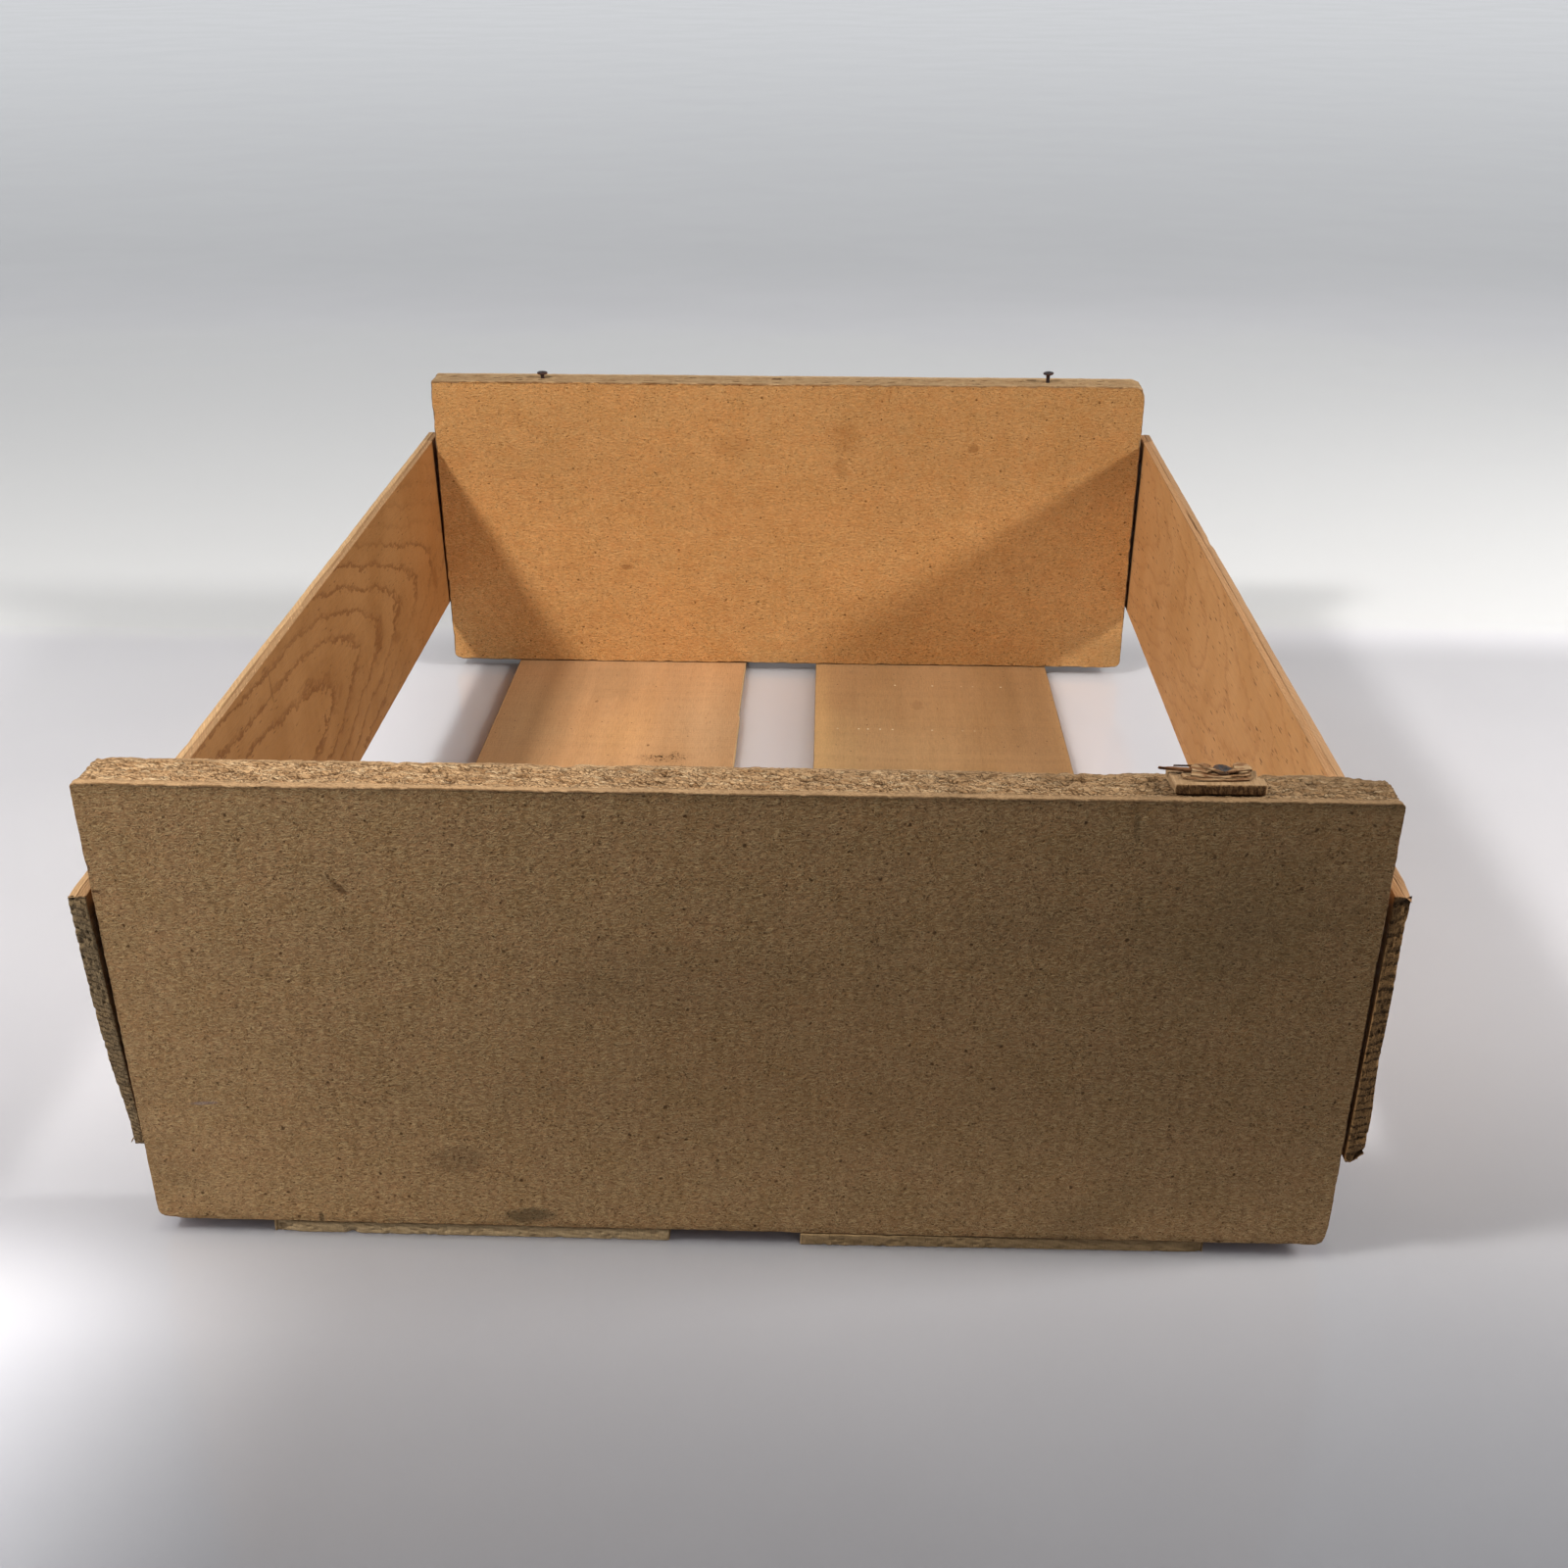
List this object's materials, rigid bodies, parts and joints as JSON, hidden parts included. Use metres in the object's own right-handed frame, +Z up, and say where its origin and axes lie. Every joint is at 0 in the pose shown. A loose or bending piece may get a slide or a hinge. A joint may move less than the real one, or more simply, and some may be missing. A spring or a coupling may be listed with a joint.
{
  "type": "wooden produce crate",
  "caption": "Shallow open-topped produce crate with thick particleboard ends, thin nailed side boards that stop short of top and bottom, and spaced bottom slats.",
  "frame": {"origin": "on the floor, at the centre of the crate's footprint", "axes": "+Z up, +Y from the front end panel to the back end panel along the crate's length, +X to the right seen from the front"},
  "size_m": [0.3559, 0.4468, 0.1538],
  "materials": {
    "particleboard": "raw three-layer particleboard, matte, coarse rough edges",
    "side_softwood": "raw sawn softwood, matte, plain-sawn figure",
    "slat_softwood": "raw thin sawn softwood, matte, fine saw marks",
    "nail_steel": "dull dark steel with brown rust"
  },
  "bodies": {
    "root": {"front_end_panel": "particleboard", "back_end_panel": "particleboard", "left_side_board": "side_softwood", "right_side_board": "side_softwood", "left_bottom_slat": "slat_softwood", "right_bottom_slat": "slat_softwood", "left_front_side_nails": "nail_steel", "left_back_side_nails": "nail_steel", "right_front_side_nails": "nail_steel", "right_back_side_nails": "nail_steel", "left_slat_front_nails": "nail_steel", "left_slat_back_nails": "nail_steel", "right_slat_front_nails": "nail_steel", "right_slat_back_nails": "nail_steel", "left_lid_nail": "nail_steel", "right_lid_nail": "nail_steel", "lid_slat_scrap": "slat_softwood", "lid_cleat_scrap": "slat_softwood", "lid_scrap_nail": "nail_steel"}
  },
  "joints": []
}
